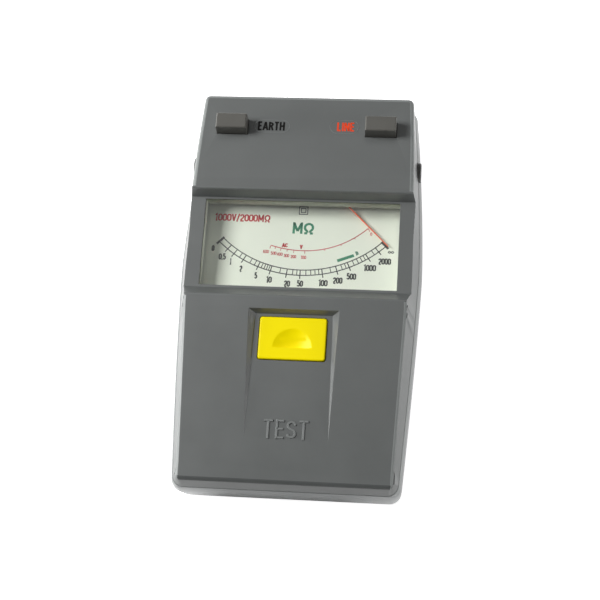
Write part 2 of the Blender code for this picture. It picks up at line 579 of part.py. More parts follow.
# ---------------------------------------------------------------- fasteners, feet, strap eyelets
for n, (x, y) in enumerate(SCREW_XY):
    head = [(0, 0), (2.4, 0), (2.8, 0.5), (2.8, 1.8), (1.3, 2.1), (1.3, 26.0), (0.6, 27.0),
            (0, 27.0)]
    screw = lathe(f"case_screw_{n + 1}", (x, y, 3.2), head, STEEL, segments=16)
    for dx, dy in ((1.6, 0.35), (0.35, 1.6)):
        boolean(screw, box("drive", (x - dx, x + dx), (y - dy, y + dy), (0, 4.2)))
for n, (x, y) in enumerate(FOOT_XY):
    pad = [(0, 0), (3.5, 0), (4.1, 0.5), (4.1, 2.2), (0, 2.2)]
    lathe(f"foot_{n + 1}", (x, y, 0), pad, RUBBER, segments=24)
for side, name in ((-1, "left"), (1, "right")):
    ring = [(2.1, 0), (4.0, 0), (4.0, 4.6), (3.6, 5.0), (2.5, 5.0), (2.1, 4.6)]
    eye = lathe(f"strap_eyelet_{name}", (0, 0, 0), ring, RUBBER, axis="X", segments=24)
    if side < 0:
        eye.data.transform(Matrix.Diagonal((-1, 1, 1, 1)))
        eye.data.flip_normals()
    eye.data.transform(Matrix.Translation((side * 43.0 * MM, EYELET_Y * MM, PARTING_Z * MM)))

for obj in bpy.data.objects:
    obj.data.shade_smooth()
    obj.data.set_sharp_from_angle(angle=math.radians(28))
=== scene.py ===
"""Looks of the hand-held analogue insulation tester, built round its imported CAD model.

Lengths are in millimetres until finish_mesh() turns them into metres. +Z is up through the dial,
+Y points to the head with the lead sockets and +X to the right as the dial is read.
"""
import json
import math

import bmesh
import bpy
import numpy as np
from mathutils import Matrix, Vector


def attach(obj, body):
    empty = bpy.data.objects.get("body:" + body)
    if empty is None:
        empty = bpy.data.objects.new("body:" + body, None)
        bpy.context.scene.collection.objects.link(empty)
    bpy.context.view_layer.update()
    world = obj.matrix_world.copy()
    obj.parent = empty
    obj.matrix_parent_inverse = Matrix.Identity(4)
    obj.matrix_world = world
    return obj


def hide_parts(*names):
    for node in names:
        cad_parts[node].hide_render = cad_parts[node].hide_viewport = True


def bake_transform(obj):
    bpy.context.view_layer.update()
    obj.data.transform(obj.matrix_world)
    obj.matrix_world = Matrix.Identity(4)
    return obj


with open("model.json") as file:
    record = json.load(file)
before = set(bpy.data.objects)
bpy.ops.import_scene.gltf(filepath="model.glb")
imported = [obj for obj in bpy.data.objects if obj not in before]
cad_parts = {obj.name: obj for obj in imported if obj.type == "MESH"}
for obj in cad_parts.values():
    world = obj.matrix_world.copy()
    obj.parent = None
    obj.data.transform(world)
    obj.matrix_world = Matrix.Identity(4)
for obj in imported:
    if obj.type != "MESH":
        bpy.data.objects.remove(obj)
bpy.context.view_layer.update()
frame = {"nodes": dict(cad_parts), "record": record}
NODES = frame["nodes"]
MM = 0.001

# ---------------------------------------------------------------- dimensions
HALF_LENGTH, HALF_WIDTH, WIDEST_Y = 84.2, 50.0, 9.0
BASE_Z, PARTING_Z, PART_STEP = 1.4, 25.2, 1.35
GAP, WALL, LIP = 0.3, 2.4, 1.2
CORNER_R, FAR_CORNER_R, CORNER_DRAW = 5.0, 3.2, 0.3    # plan radii and how fast insets shrink them
RIM_NEAR_R, RIM_FAR_R = 1.7, 2.4                       # the same corners at the top edge
NEAR_SET, NEAR_LEAN, FAR_SET, FAR_LEAN = 0.5, 0.35, 1.2, 0.08      # upper case's end walls
NEAR_TAPER, FAR_TAPER = (4.25, 84.2, 1.28), (3.8, 67.4, 1.6)       # draw-in, over a length, power
HEAD_BEVEL, HEAD_SPAN, FACE_BEVEL, FACE_SPAN = 1.6, (38.6, 90), 1.1, (-90, -8.4)
GROOVE_W, GROOVE_D, GROOVE_END_Y, GROOVE_FULL_Y = 0.5, 0.55, -8.5, -9.5
FACE_NEAR, SILL_TOP, SILL_FOOT = (-80.6, 30.85), (-7.6, 38.5), (-2.7, 32.55)
BROW_FOOT, RIDGE, HEAD_FAR = (36.6, 34.8), (37.8, 41.0), (82.1, 39.7)
WINDOW_HALF_W, WINDOW_NEAR_Y, WINDOW_FAR_Y = 40.2, -1.6, 36.4
RECESS_FAR_Y, RECESS_TIP_Y, RECESS_DEPTH, RECESS_HALF_W = -14.1, -65.0, 3.0, 15.45
RECESS_SIDE_LEAN, RECESS_FAR_LEAN, RECESS_SPLAY = 0.88, 0.36, 1.15
BUTTON_X, BUTTON_Y0, BUTTON_Y1, BUTTON_PROUD = 13.45, -33.0, -15.5, 0.7
SCOOP_R, SCOOP_Y, SCOOP_DEPTH = 7.8, -28.1, 1.7
DIAL_Z, PIVOT_Y, POINTER_Z, POINTER_LEN, REST_DEG = 23.9, 56.8, 25.2, 51.0, 44.5
TERM_X, TERM_Y0, TERM_Y1, TERM_SLOT_W, SOCKET_Z, PORT_R = 30.95, 63.3, 70.0, 6.6, 32.5, 5.3
EYELET_Y, EYELET_R = 54.8, 4.0
SCREW_XY = ((-38.5, -50.0), (38.5, -50.0), (-38.5, 49.5), (38.5, 49.5))
UPPER_POST_R, PILOT_R, LOWER_POST_R, BORE_R, COUNTERBORE_R = 3.2, 1.6, 4.2, 1.7, 3.1
FOOT_XY, POCKET_R = ((-38.0, -70.0), (38.0, -70.0), (-38.0, 70.0), (38.0, 70.0)), 4.5
BAY_X, BAY_Y0, BAY_Y1, BAY_TOP = 30.5, -79.3, -23.0, 19.8
SHOULDER_Z = 23.4
COVER_X, COVER_Y1 = 28.0, -21.4


# ---------------------------------------------------------------- mesh helpers
def finish_mesh(name, bm, mat=None):
    """A new object, in metres, from a bmesh in millimetres."""
    bmesh.ops.recalc_face_normals(bm, faces=bm.faces)
    bm.transform(Matrix.Scale(MM, 4))
    mesh = bpy.data.meshes.new(name)
    bm.to_mesh(mesh)
    bm.free()
    obj = bpy.data.objects.new(name, mesh)
    bpy.context.scene.collection.objects.link(obj)
    if mat:
        mesh.materials.append(mat)
    return obj


def loft(name, rings, mat=None):
    """Closed solid through rings of equally many points; the first and last are its ends."""
    bm = bmesh.new()
    rows = [[bm.verts.new(p) for p in ring] for ring in rings]
    count = len(rings[0])
    for low, high in zip(rows, rows[1:]):
        for i in range(count):
            j = (i + 1) % count
            bm.faces.new((low[i], low[j], high[j], high[i]))
    bm.faces.new(rows[0][::-1])
    bm.faces.new(rows[-1])
    return finish_mesh(name, bm, mat)


def turned(u, v, h, axis):
    """The point at (u, v) across the axis and h along it."""
    return {"X": (h, u, v), "Y": (u, h, v), "Z": (u, v, h)}[axis]


def prism(name, points, low, high, axis="Z"):
    """Extrude a closed outline: (x, y) along Z, (y, z) along X or (x, z) along Y."""
    return loft(name, [[turned(*p, h, axis) for p in points] for h in (low, high)])


def block(name, x, y, z):
    return prism(name, [(x[0], y[0]), (x[1], y[0]), (x[1], y[1]), (x[0], y[1])], z[0], z[1])


def rod(name, centre, radius, length, axis="Z", segments=32):
    """Cylinder that starts at the centre and runs along +axis."""
    ring = [(radius * math.cos(a), radius * math.sin(a))
            for a in np.linspace(0, 2 * math.pi, segments, endpoint=False)]
    return loft(name, [[tuple(c + o for c, o in zip(centre, turned(u, v, h, axis)))
                        for u, v in ring] for h in (0, length)])


def boolean(target, tool, operation="DIFFERENCE"):
    """Cut the tool out of the target, or join or keep what they share, and delete the tool."""
    mod = target.modifiers.new("cut", "BOOLEAN")
    mod.operation = operation
    mod.solver = "EXACT"
    mod.object = tool
    graph = bpy.context.evaluated_depsgraph_get()
    mesh = bpy.data.meshes.new_from_object(target.evaluated_get(graph))
    target.modifiers.clear()
    target.data = mesh
    bpy.data.objects.remove(tool, do_unlink=True)


FILLET_STEPS = 5


def fillet(points, radii):
    """Round the corners of an open or closed outline; radii maps an index to its radius."""
    out = []
    for i, p in enumerate(points):
        if i not in radii:
            out.append(p)
            continue
        a = Vector(points[i - 1]) - Vector(p)
        b = Vector(points[(i + 1) % len(points)]) - Vector(p)
        angle = a.angle(b)
        r = radii[i]
        back = r / math.tan(angle / 2)
        a.normalize()
        b.normalize()
        centre = Vector(p) + (a + b).normalized() * (r / math.sin(angle / 2))
        start, end = Vector(p) + a * back - centre, Vector(p) + b * back - centre
        turn = start.angle_signed(end)
        for k in range(FILLET_STEPS + 1):
            t = -turn * k / FILLET_STEPS
            out.append(tuple(centre + Matrix.Rotation(t, 2) @ start))
    return out


def soft_edges(obj, width, segments, angle):
    """Small rounds on every edge sharper than angle, as moulded pieces have."""
    bevel = obj.modifiers.new("rounds", "BEVEL")
    bevel.width = width * MM
    bevel.segments = segments
    bevel.limit_method = "ANGLE"
    bevel.angle_limit = math.radians(angle)
    bevel.use_clamp_overlap = True
    bevel.miter_outer = "MITER_ARC"


def shade(obj, angle):
    """Smooth shading, with edges sharper than the angle kept sharp."""
    obj.data.shade_smooth()
    obj.data.set_sharp_from_angle(angle=math.radians(angle))


def weighted(obj):
    """Keep large faces flat beside their small rounds."""
    normals = obj.modifiers.new("normals", "WEIGHTED_NORMAL")
    normals.keep_sharp = True
    normals.weight = 60


# ---------------------------------------------------------------- materials
def tree(name):
    """A new material with its nodes, its links and its main shader."""
    mat = bpy.data.materials.new(name)
    mat.use_nodes = True
    nodes = mat.node_tree.nodes
    return mat, nodes, mat.node_tree.links, nodes["Principled BSDF"]


def noise(nodes, links, coord, scale, detail, rough=0.55):
    """Noise in object space; scale is in cycles per metre."""
    tex = nodes.new("ShaderNodeTexNoise")
    tex.inputs["Scale"].default_value = scale
    tex.inputs["Detail"].default_value = detail
    tex.inputs["Roughness"].default_value = rough
    links.new(coord, tex.inputs["Vector"])
    return tex.outputs["Fac"]


def spread(nodes, links, fac, low, high, to_low, to_high):
    """Map fac from low..high to to_low..to_high, held at the ends."""
    node = nodes.new("ShaderNodeMapRange")
    node.inputs["From Min"].default_value = low
    node.inputs["From Max"].default_value = high
    node.inputs["To Min"].default_value = to_low
    node.inputs["To Max"].default_value = to_high
    links.new(fac, node.inputs["Value"])
    return node.outputs["Result"]


def math_node(nodes, links, operation, a, b):
    """Maths on two values, each a number or another node's output."""
    node = nodes.new("ShaderNodeMath")
    node.operation = operation
    for socket, value in zip(node.inputs, (a, b)):
        if isinstance(value, (int, float)):
            socket.default_value = value
        else:
            links.new(value, socket)
    return node.outputs[0]


MIX_FAC, MIX_A, MIX_B, MIX_COLOUR_OUT = 0, 6, 7, 2      # the mix node's colour sockets
CLOUD_PER_M, GRAIN_HEIGHT = 70.0, 0.00006               # soft mottling; grain depth in metres


def plastic(name, tint, rough, grain, grain_size, mottle, edge, metal=0.0, scuffs=0.0, coat=0.0,
            spec=0.5):
    """Moulded plastic, rubber or metal: fine grain (mm), cloudy tone, worn edges with painted
    highlight, light scuffs.
    """
    mat, nodes, links, bsdf = tree(name)
    coord = nodes.new("ShaderNodeTexCoord").outputs["Object"]
    cloud = noise(nodes, links, coord, CLOUD_PER_M, 4.0)
    fine = noise(nodes, links, coord, 1 / MM / grain_size, 2.0, 0.6)
    tone = math_node(nodes, links, "MULTIPLY",
                     spread(nodes, links, cloud, 0.3, 0.7, 1 - mottle, 1 + mottle),
                     spread(nodes, links, fine, 0.25, 0.75, 1 - mottle * 0.5, 1 + mottle * 0.5))
    base = nodes.new("ShaderNodeVectorMath")
    base.operation = "SCALE"
    base.inputs[0].default_value = tint
    links.new(tone, base.inputs["Scale"])
    colour = base.outputs[0]
    # lighter convex edges: wear, and on the case top a painted highlight along the rims
    if edge:
        point = nodes.new("ShaderNodeNewGeometry").outputs["Pointiness"]
        mix = nodes.new("ShaderNodeMix")
        mix.data_type = "RGBA"
        links.new(spread(nodes, links, point, 0.52, 0.62, 0.0, edge), mix.inputs[MIX_FAC])
        links.new(colour, mix.inputs[MIX_A])
        mix.inputs[MIX_B].default_value = (*(min(1.0, c * 1.6 + 0.04) for c in tint), 1.0)
        colour = mix.outputs[MIX_COLOUR_OUT]
    links.new(colour, bsdf.inputs["Base Color"])
    bsdf.inputs["Metallic"].default_value = metal
    bsdf.inputs["Specular IOR Level"].default_value = spec
    bsdf.inputs["Coat Weight"].default_value = coat
    bsdf.inputs["Coat Roughness"].default_value = 0.12
    gloss = spread(nodes, links, cloud, 0.25, 0.75, rough - 0.03, rough + 0.04)
    if scuffs:
        stretch = nodes.new("ShaderNodeMapping")
        stretch.inputs["Scale"].default_value = (900.0, 60.0, 300.0)
        stretch.inputs["Rotation"].default_value = (0.0, 0.0, 0.5)
        links.new(coord, stretch.inputs["Vector"])
        hair = nodes.new("ShaderNodeTexNoise")
        hair.inputs["Scale"].default_value = 1.0
        hair.inputs["Detail"].default_value = 2.0
        links.new(stretch.outputs[0], hair.inputs["Vector"])
        lines = spread(nodes, links, hair.outputs["Fac"], 0.66, 0.74, 0.0, scuffs)
        gloss = math_node(nodes, links, "SUBTRACT", gloss, lines)
    links.new(gloss, bsdf.inputs["Roughness"])
    bump = nodes.new("ShaderNodeBump")
    bump.inputs["Strength"].default_value = grain
    bump.inputs["Distance"].default_value = GRAIN_HEIGHT
    links.new(fine, bump.inputs["Height"])
    links.new(bump.outputs[0], bsdf.inputs["Normal"])
    return mat


def rgb(hexa, gain=1.0):
    """Linear colour from an sRGB hex code."""
    out = []
    for i in (0, 2, 4):
        c = int(hexa[i:i + 2], 16) / 255
        out.append(gain * (c / 12.92 if c <= 0.04045 else ((c + 0.055) / 1.055) ** 2.4))
    return tuple(out)


# name, colour, roughness, grain strength and size in mm, mottling, edges lightened as wear and
# painted highlight
CASE_TOP = plastic("case_grey", rgb("6d706f", 0.84), 0.32, 0.3, 0.5, 0.03, 0.6)
# lighter copy of the case grey: painted highlight on the top's rim rounds and the lower shell's
# shoulders
CASE_PAINTED_HIGHLIGHT = plastic("case_grey_painted_highlight", rgb("6d706f", 1.65), 0.34, 0.3, 0.5, 0.03, 0.0)
# darker copy of the case grey: painted shade in the V-groove and on the near-facing rim rounds
CASE_PAINTED_SHADE = plastic("case_grey_painted_shade", rgb("6d706f", 0.6), 0.5, 0.1, 0.5, 0.03, 0.0, spec=0.2)
CASE_BASE = plastic("case_grey_base", rgb("6f7272", 0.9), 0.3, 0.04, 0.5, 0.03, 0.0, spec=0.5)
EYELET = plastic("eyelet_grey", (0.085, 0.086, 0.084), 0.45, 0.2, 0.5, 0.05, 0.1)
HOUSING = plastic("housing_grey", rgb("62615c", 0.84), 0.34, 0.3, 0.4, 0.05, 0.2)
YELLOW = plastic("button_yellow", (1.0, 0.83, 0.0), 0.3, 0.1, 0.6, 0.01, 0.0, spec=0.12)
BLACK = plastic("black_plastic", (0.02, 0.02, 0.022), 0.45, 0.4, 0.4, 0.1, 0.1)
CREAM = plastic("dial_cream", (0.86, 0.88, 0.77), 0.6, 0.15, 0.3, 0.012, 0.0)
RUBBER = plastic("rubber_black", (0.018, 0.018, 0.018), 0.7, 0.6, 0.6, 0.15, 0.15)
STEEL = plastic("steel_plated", (0.55, 0.56, 0.57), 0.32, 0.25, 0.3, 0.05, 0.1, metal=1.0,
                scuffs=0.1)
BRASS = plastic("brass", (0.70, 0.50, 0.19), 0.28, 0.2, 0.3, 0.06, 0.1, metal=1.0, scuffs=0.08)
COPPER = plastic("copper_wire", (0.72, 0.31, 0.15), 0.33, 0.5, 0.25, 0.1, 0.0, metal=1.0)
FERRITE = plastic("magnet", (0.12, 0.12, 0.13), 0.42, 0.4, 0.3, 0.12, 0.1, metal=0.8)
BOARD = plastic("circuit_green", (0.02, 0.15, 0.065), 0.42, 0.35, 0.6, 0.2, 0.0)
CAP_BLUE = plastic("capacitor_blue", (0.03, 0.06, 0.25), 0.35, 0.1, 0.5, 0.06, 0.0)
FILM_RED = plastic("film_red", (0.4, 0.06, 0.03), 0.4, 0.1, 0.5, 0.06, 0.0)
CELL_SKIN = plastic("cell_sleeve", (0.06, 0.065, 0.08), 0.3, 0.08, 0.5, 0.06, 0.0, coat=0.3)
TAPE = plastic("transformer_tape", (0.6, 0.45, 0.05), 0.45, 0.3, 0.8, 0.1, 0.0)
ORANGE = plastic("pointer_orange", rgb("ea6236"), 0.4, 0.1, 0.3, 0.03, 0.0)
# grey-olive darker than the dial: painted shade standing in for the brow's shadow on the surround
SHADED_SURROUND = plastic("dial_surround", (0.5, 0.51, 0.44), 0.6, 0.15, 0.3, 0.05, 0.0)
INK_BLACK = plastic("ink_black", rgb("1d1f1a"), 0.55, 0.1, 0.3, 0.1, 0.0)
INK_RED = plastic("ink_red", rgb("b8262b"), 0.55, 0.1, 0.3, 0.1, 0.0)
INK_GREEN = plastic("ink_green", rgb("1f7a58"), 0.55, 0.1, 0.3, 0.1, 0.0)
PAINT_ORANGE = plastic("paint_orange", rgb("ee4410"), 0.5, 0.1, 0.3, 0.1, 0.0)
PAINT_BLACK = plastic("paint_black", (0.006, 0.006, 0.005), 0.6, 0.1, 0.3, 0.1, 0.0, spec=0.2)


CLEAR_TINT = (0.97, 0.985, 0.975, 1.0)


def clear_window():
    """Clear acrylic with a faint haze; lamps reach what is behind it."""
    mat, nodes, links, bsdf = tree("clear_window")
    coord = nodes.new("ShaderNodeTexCoord").outputs["Object"]
    haze = noise(nodes, links, coord, 120.0, 5.0)
    bsdf.inputs["Base Color"].default_value = CLEAR_TINT
    bsdf.inputs["IOR"].default_value = 1.49
    bsdf.inputs["Transmission Weight"].default_value = 1.0
    links.new(spread(nodes, links, haze, 0.3, 0.7, 0.015, 0.05), bsdf.inputs["Roughness"])
    clear = nodes.new("ShaderNodeBsdfTransparent")
    clear.inputs["Color"].default_value = CLEAR_TINT
    ray = nodes.new("ShaderNodeLightPath")
    shader = bsdf.outputs[0]
    for kind in ("Is Diffuse Ray", "Is Shadow Ray"):
        mix = nodes.new("ShaderNodeMixShader")
        links.new(ray.outputs[kind], mix.inputs[0])
        links.new(shader, mix.inputs[1])
        links.new(clear.outputs[0], mix.inputs[2])
        shader = mix.outputs[0]
    links.new(shader, nodes["Material Output"].inputs["Surface"])
    return mat


BY_SLOT = {"abs_grey": CASE_BASE, "clear_window": clear_window(), "black_plastic": BLACK,
           "dial_cream": CREAM, "steel": STEEL, "magnet": FERRITE, "copper": COPPER,
           "pointer_orange": ORANGE, "brass": BRASS, "button_yellow": YELLOW,
           "circuit_board": BOARD, "transformer_tape": TAPE, "component_plastic": CAP_BLUE,
           "cell": CELL_SKIN, "rubber": RUBBER}
BY_NODE = {"film_capacitor": FILM_RED, "dial_surround": SHADED_SURROUND, "strap_eyelet_left": EYELET,
           "strap_eyelet_right": EYELET, "terminal_housing_earth": HOUSING,
           "terminal_housing_line": HOUSING, "battery_cover": CASE_BASE}
slots = {row["node"]: row["material_slot"] for row in frame["record"]["subparts"]}
for name, node in NODES.items():
    node.data.materials.clear()
    node.data.materials.append(BY_NODE.get(name, BY_SLOT.get(slots.get(name), BLACK)))


# ---------------------------------------------------------------- case outline
def half_width(y):
    draw, length, power = NEAR_TAPER if y < WIDEST_Y else FAR_TAPER
    return HALF_WIDTH - draw * (abs(y - WIDEST_Y) / length) ** power


LEAN_Y = (-84, -8, 0, 10, 22, 37, 80)
LEAN = (.37, .25, .30, .32, .29, .145, .035)


def side_lean(y):
    """How far the upper case's side draws in for each mm it rises, eased along the case."""
    return float(np.mean([np.interp(y + d, LEAN_Y, LEAN) for d in (-3, -1.5, 0, 1.5, 3)]))


def outline(z, inset, near, far, lean=None, stations=72, arc=10):
    """Plan outline at height z, counter-clockwise from the near right corner."""
    y_near, y_far = -HALF_LENGTH + near, HALF_LENGTH - far
    r_near, r_far = (max(r - CORNER_DRAW * inset, 1.5) for r in (CORNER_R, FAR_CORNER_R))

    def edge(y):
        return half_width(y) - inset - (lean(y) if lean else 0.0)

    right = []
    for i in range(arc):
        a = math.pi / 2 * i / arc
        right.append((edge(y_near + r_near) - r_near + r_near * math.sin(a),
                      y_near + r_near - r_near * math.cos(a)))
    for y in np.linspace(y_near + r_near, y_far - r_far, stations):
        right.append((edge(y), y))
    for i in range(1, arc + 1):
        a = math.pi / 2 * i / arc
        right.append((edge(y_far - r_far) - r_far + r_far * math.cos(a),
                      y_far - r_far + r_far * math.sin(a)))
    left = [(-x, y) for x, y in reversed(right)]
    return [(x, y, z) for x, y in right + left]


def upper_loft(name, inset, z_low, z_high, stations=72, arc=10):
    rings = []
    for z in (z_low, z_high):
        rise = z - PARTING_Z
        rings.append(outline(z, PART_STEP + inset, NEAR_SET + NEAR_LEAN * rise + inset,
                             FAR_SET + FAR_LEAN * rise + inset, lambda y: side_lean(y) * rise,
                             stations, arc))
    return loft(name, rings, CASE_TOP)


def tighten(bm):
    """Draw the case's corners in towards the rim: round at the parting line, crisp at the top."""
    wide_near, wide_far = (r - CORNER_DRAW * PART_STEP for r in (CORNER_R, FAR_CORNER_R))
    for v in bm.verts:
        x, y, z = (c / MM for c in v.co)
        rise = z - PARTING_Z
        if y < -70 and abs(z - face_z(y)) < 0.05:
            give, wide = wide_near - RIM_NEAR_R, wide_near
            low = -HALF_LENGTH + NEAR_SET + NEAR_LEAN * rise
            turn = math.acos(min(1.0, max(0.0, (low + wide - y) / wide)))
            x += math.copysign(give * (1 - math.sin(turn)) if y < low + wide else 0.0, x)
            y -= give * (1 - math.cos(turn)) if abs(x) > 30 and y < low + wide + 0.01 else 0.0
            z = face_z(y)
        elif y > 70 and abs(z - head_z(y)) < 0.05:
            give, wide = wide_far - RIM_FAR_R, wide_far
            high = HALF_LENGTH - FAR_SET - FAR_LEAN * rise
            turn = math.asin(min(1.0, max(0.0, (y - high + wide) / wide)))
            x += math.copysign(give * (1 - math.cos(turn)) if y > high - wide else 0.0, x)
            y += give * (1 - math.sin(turn)) if abs(x) > 30 and y > high - wide - 0.01 else 0.0
            z = head_z(y)
        else:
            continue
        v.co = (x * MM, y * MM, z * MM)


def line(a, b, y):
    """Height at y on the straight line through the points a and b, each (y, z)."""
    return a[1] + (b[1] - a[1]) * (y - a[0]) / (b[0] - a[0])


def face_z(y):
    return line(SILL_TOP, FACE_NEAR, y)


def bars_z(y):
    return line(SILL_FOOT, BROW_FOOT, y)


def head_z(y):
    return line(RIDGE, HEAD_FAR, y)


def recess_z(y):
    far, tip = face_z(RECESS_FAR_Y) - RECESS_DEPTH, face_z(RECESS_TIP_Y)
    return line((RECESS_FAR_Y, far), (RECESS_TIP_Y, tip), y)


def top_profile(drop, back):
    """Side view of the top: each surface lowered by drop, the sill moved back."""
    return [(-95, 20), (-95, face_z(-95) - drop), (SILL_TOP[0] - back, face_z(SILL_TOP[0]) - drop),
            (SILL_FOOT[0] - back, bars_z(SILL_FOOT[0]) - drop),
            (BROW_FOOT[0] + drop, bars_z(BROW_FOOT[0]) - drop),
            (RIDGE[0] + drop, head_z(RIDGE[0]) - drop), (95, head_z(95) - drop), (95, 20)]


def eyelet_hole(side):
    """Tool for the strap eyelet's hole through the wall on one side, -1 or 1."""
    return rod("eye", (side * 47 - 5, EYELET_Y, PARTING_Z), EYELET_R + GAP, 10, "X", 40)


# ---------------------------------------------------------------- upper case
# material slots for the painted highlight and the painted shade on the case
PAINTED_HIGHLIGHT_SLOT, PAINTED_SHADE_SLOT = 1, 2


def rim_edges(bm, low_y, high_y):
    """Edges between the level top and a wall, between two stations along the case."""
    rim = []
    for e in bm.edges:
        mid = (e.verts[0].co + e.verts[1].co) / (2 * MM)
        if not low_y < mid.y < high_y or len(e.link_faces) != 2 or mid.z < PARTING_Z + 1:
            continue
        lean = sorted(abs(f.normal.z) for f in e.link_faces)
        if lean[1] > 0.98 and lean[0] < 0.8:
            rim.append(e)
    return rim


def round_rim(bm):
    """Round the top's outer edges in a painted highlight, then run a fine V-groove along the foot
    of the near rim; the groove and the near-facing rounds get painted shade.
    """
    def bevel(edges, offset, segments, slot):
        return set(bmesh.ops.bevel(bm, geom=edges, offset=offset * MM, segments=segments,
                                   profile=0.5, affect="EDGES", material=slot)["faces"])

    bevel(rim_edges(bm, *HEAD_SPAN), HEAD_BEVEL, 3, PAINTED_HIGHLIGHT_SLOT)
    band = bevel(rim_edges(bm, *FACE_SPAN), FACE_BEVEL, 3, PAINTED_HIGHLIGHT_SLOT)
    for f in band:
        # near-facing rim rounds get the painted shade
        if f.normal.y < -0.25 and abs(f.normal.x) < 0.3:
            f.material_index = PAINTED_SHADE_SLOT
    foot = [e for e in bm.edges if len(e.link_faces) == 2
            and len([f for f in e.link_faces if f in band]) == 1
            and min(abs(f.normal.z) for f in e.link_faces if f not in band) < 0.6
            and min(f.normal.y for f in e.link_faces) > -0.8
            and max(v.co.y for v in e.verts) < GROOVE_END_Y * MM]
    # the groove's faces take the painted shade
    groove = bevel(foot, GROOVE_W, 2, PAINTED_SHADE_SLOT)
    middle = {}
    for e in bm.edges:
        if len(e.link_faces) == 2 and all(f in groove for f in e.link_faces):
            first, second = (f.normal for f in e.link_faces)
            if first.angle(second) > 0.02:
                for v in e.verts:
                    middle.setdefault(v, Vector())
                    middle[v] += first + second
    for v, normal in middle.items():
        if v.co.y < GROOVE_FULL_Y * MM:
            v.co -= normal.normalized() * GROOVE_D * MM


upper = upper_loft("upper_shell", 0.0, PARTING_Z, 48.0)
profile = fillet(top_profile(0.0, 0.0), {2: 0.7, 3: 0.5, 4: 0.5, 5: 0.9})
boolean(upper, prism("top", profile, -60, 60, "X"), "INTERSECT")

for finish in (CASE_PAINTED_HIGHLIGHT, CASE_PAINTED_SHADE):
    upper.data.materials.append(finish)
bm = bmesh.new()
bm.from_mesh(upper.data)
bmesh.ops.remove_doubles(bm, verts=bm.verts, dist=1e-6)
bmesh.ops.dissolve_limit(bm, angle_limit=0.0015, verts=bm.verts, edges=bm.edges)
tighten(bm)
round_rim(bm)
bm.to_mesh(upper.data)
bm.free()

hollow = upper_loft("hollow", WALL, PARTING_Z - 3, 46.0, 24, 4)
boolean(hollow, prism("ceiling", top_profile(WALL, 1.2), -60, 60, "X"), "INTERSECT")
housing = [(y, recess_z(y) - 2.2) for y in (RECESS_FAR_Y + 4, RECESS_TIP_Y + 8)]
housing += [(RECESS_TIP_Y + 8, 50), (RECESS_FAR_Y + 4, 50)]
boolean(hollow, prism("housing", housing, -RECESS_HALF_W - 4, RECESS_HALF_W + 4, "X"))
for x, y in SCREW_XY:
    boolean(hollow, rod("post", (x, y, 10), UPPER_POST_R, 40, segments=16))
boolean(upper, hollow)

boolean(upper, block("window", (-WINDOW_HALF_W, WINDOW_HALF_W), (WINDOW_NEAR_Y, WINDOW_FAR_Y),
                     (26, 34.75)))
seat = [(WINDOW_NEAR_Y - 1.7, 24), (WINDOW_FAR_Y + 1.9, 24),
        (WINDOW_FAR_Y + 1.9, bars_z(WINDOW_FAR_Y + 1.9) - LIP),
        (WINDOW_NEAR_Y - 1.7, bars_z(WINDOW_NEAR_Y - 1.7) - LIP)]
boolean(upper, prism("lens_seat", seat, -WINDOW_HALF_W - 1.9, WINDOW_HALF_W + 1.9, "X"))

rings = []
for up in (0.0, 9.0):
    wide, tip = RECESS_HALF_W + RECESS_SIDE_LEAN * up, RECESS_TIP_Y - 5
    far = RECESS_FAR_Y + RECESS_FAR_LEAN * up
    rings.append([(wide + RECESS_SPLAY, tip, recess_z(tip) + up),
                  (wide, far, recess_z(RECESS_FAR_Y) + up),
                  (-wide, far, recess_z(RECESS_FAR_Y) + up),
                  (-wide - RECESS_SPLAY, tip, recess_z(tip) + up)])
boolean(upper, loft("recess", rings))
hole = fillet([(-BUTTON_X - GAP, BUTTON_Y0 - GAP), (BUTTON_X + GAP, BUTTON_Y0 - GAP),
               (BUTTON_X + GAP, BUTTON_Y1 + GAP), (-BUTTON_X - GAP, BUTTON_Y1 + GAP)],
              dict.fromkeys(range(4), 1.2))
boolean(upper, prism("button_hole", hole, 26, 44))
for x, y in SCREW_XY:
    boolean(upper, rod("pilot", (x, y, 20), PILOT_R, 12, segments=16))
for side in (-1, 1):
    x = side * TERM_X
    boolean(upper, block("slot", (x - TERM_SLOT_W, x + TERM_SLOT_W),
                         (TERM_Y0 - 0.25, TERM_Y1 + 0.25), (30, 44)))
    boolean(upper, rod("port", (x, 74, SOCKET_Z), PORT_R, 14, axis="Y", segments=40))
    boolean(upper, eyelet_hole(side))
soft_edges(upper, 0.08, 2, 38)
shade(upper, 30)
weighted(upper)
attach(upper, "case")
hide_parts("upper_case")

# ---------------------------------------------------------------- lower case
# height, inset from the widest outline, inset of the near end
LEVELS = ((BASE_Z, 2.9, 4.6), (1.6, 2.2, 4.05), (2.0, 1.7, 3.6), (3.0, 1.0, 2.8), (4.6, 0.6, 2.1),
          (11.0, 0.33, 1.1), (18.0, 0.0, 0.0), (21.0, 0.12, 0.05), (22.4, 0.3, 0.08),
          (SHOULDER_Z, 0.55, 0.15), (24.3, 0.8, 0.22), (PARTING_Z - 0.03, PART_STEP - 0.1, 0.34))
rings = [outline(z, inset, near, min(near, 1.2) * 0.9 + inset * 0.5) for z, inset, near in LEVELS]
lower = loft("lower_shell", rings, CASE_BASE)
hollow = loft("hollow", [outline(z, WALL + 0.8, WALL + 2.0 - n, WALL + 1.0, stations=24, arc=4)
                         for n, z in ((0, BASE_Z + 2.2), (1.2, PARTING_Z + 2))])
boolean(hollow, block("bay", (-BAY_X - 1.6, BAY_X + 1.6), (BAY_Y0 - 6, BAY_Y1 + 1.6),
                      (-1, BAY_TOP + 1.6)))
for x, y in SCREW_XY:
    boolean(hollow, rod("post", (x, y, 0), LOWER_POST_R, PARTING_Z - GAP - 1.0, segments=20))
boolean(lower, hollow)
